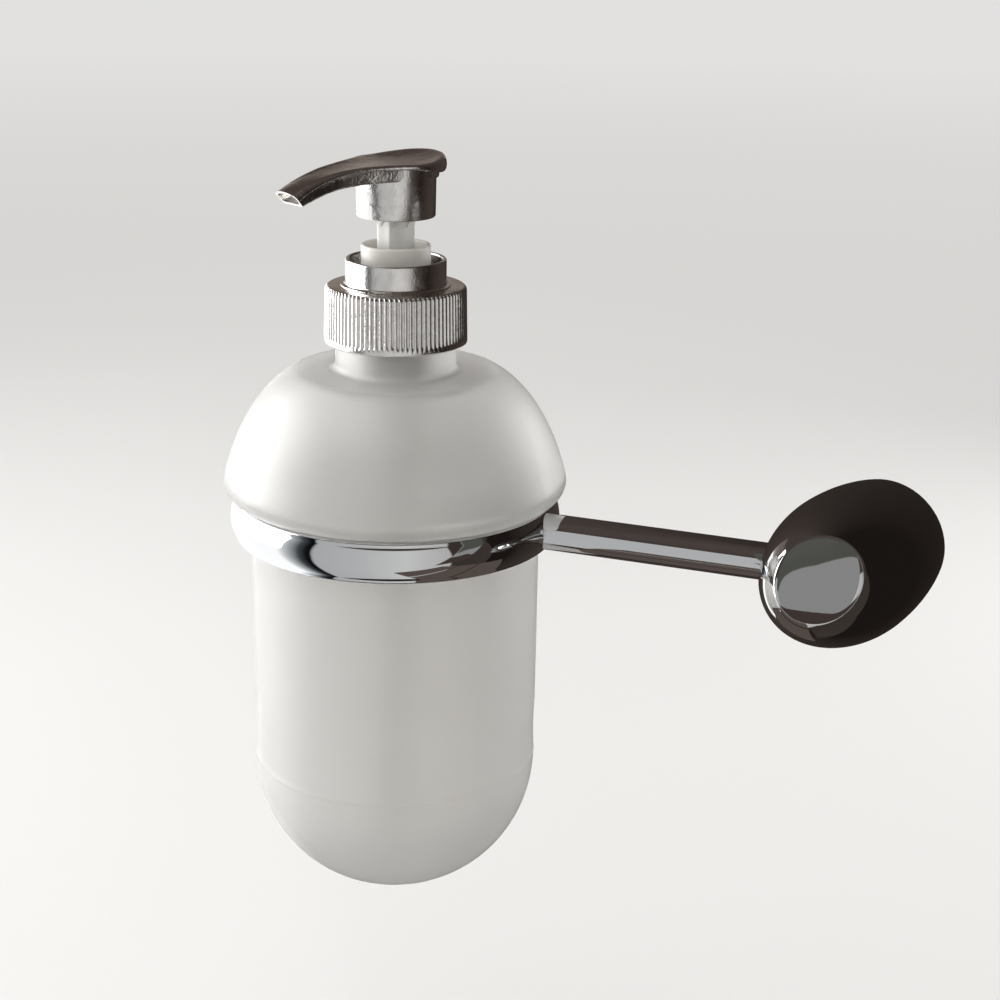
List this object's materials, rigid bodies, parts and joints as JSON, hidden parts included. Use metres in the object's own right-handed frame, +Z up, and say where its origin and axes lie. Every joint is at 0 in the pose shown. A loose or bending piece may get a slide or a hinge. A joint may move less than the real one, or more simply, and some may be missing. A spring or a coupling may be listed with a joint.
{
  "type": "wall-mounted soap dispenser",
  "caption": "Wall-mounted lotion dispenser: a domed frosted glass bottle hangs in a ring on an arm from an egg-shaped boss, with a screw-on pump and a turning spout.",
  "frame": {"origin": "centre of the boss's face on the wall", "axes": "+Y into the wall, +Z up; the room is towards -Y and the bottle is towards -X"},
  "size_m": [0.1646, 0.0912, 0.1841],
  "materials": {
    "chromed_brass": "mirror-polished chrome plate",
    "steel": "bright stainless steel",
    "frosted_glass": "satin-etched outside, smooth inside",
    "metallised_plastic": "vacuum-metallised, bright with a slight orange peel",
    "natural_plastic": "natural translucent polypropylene",
    "piston_plastic": "soft polyethylene",
    "gasket_foam": "white closed-cell foam"
  },
  "bodies": {
    "holder": {"wall_bracket": "chromed_brass", "boss": "chromed_brass", "boss_cap": "chromed_brass", "boss_grub_screw": "steel", "arm": "chromed_brass", "arm_clamp_screw": "steel", "holder_ring": "chromed_brass", "ring_screw": "steel"},
    "bottle": {"bottle": "frosted_glass"},
    "pump_core": {"pump_housing": "natural_plastic", "lock_cup": "natural_plastic", "neck_gasket": "gasket_foam", "ball_cage": "natural_plastic", "dip_tube": "natural_plastic", "return_spring": "steel"},
    "closure": {"closure_shell": "metallised_plastic", "closure_liner": "natural_plastic"},
    "plunger": {"piston_rod": "natural_plastic", "piston": "piston_plastic"},
    "head": {"actuator_head": "metallised_plastic", "stem": "natural_plastic"},
    "inlet_ball": {"inlet_ball": "steel"},
    "outlet_ball": {"outlet_ball": "steel"}
  },
  "joints": [
    {"name": "bottle_lift", "type": "slide", "parent": "holder", "child": "bottle", "axis": [0, 0, 1], "range_m": [0, 0.1]},
    {"name": "pump_lift", "type": "slide", "parent": "bottle", "child": "pump_core", "axis": [0, 0, 1], "range_m": [0, 0.00528]},
    {"name": "closure_turn", "type": "hinge", "parent": "pump_core", "child": "closure", "pos_m": [-0.10604, -0.0499, 0.05], "axis": [0, 0, 1], "range_deg": [0, 450]},
    {"name": "pump_press", "type": "slide", "parent": "pump_core", "child": "plunger", "axis": [0, 0, -1], "range_m": [0, 0.012], "stiffness_N_per_m": 600, "springref_m": -0.008, "deforming": ["return_spring"]},
    {"name": "head_swivel", "type": "hinge", "parent": "plunger", "child": "head", "pos_m": [-0.10604, -0.0499, 0.05], "axis": [0, 0, 1], "continuous": true},
    {"name": "inlet_ball_lift", "type": "slide", "parent": "pump_core", "child": "inlet_ball", "axis": [0, 0, 1], "range_m": [0, 0.0012]},
    {"name": "outlet_ball_lift", "type": "slide", "parent": "plunger", "child": "outlet_ball", "axis": [0, 0, 1], "range_m": [0, 0.001]}
  ],
  "couplings": [
    {"joint": "closure_turn", "follows": "pump_lift", "rad_per_m": 1485.4}
  ]
}
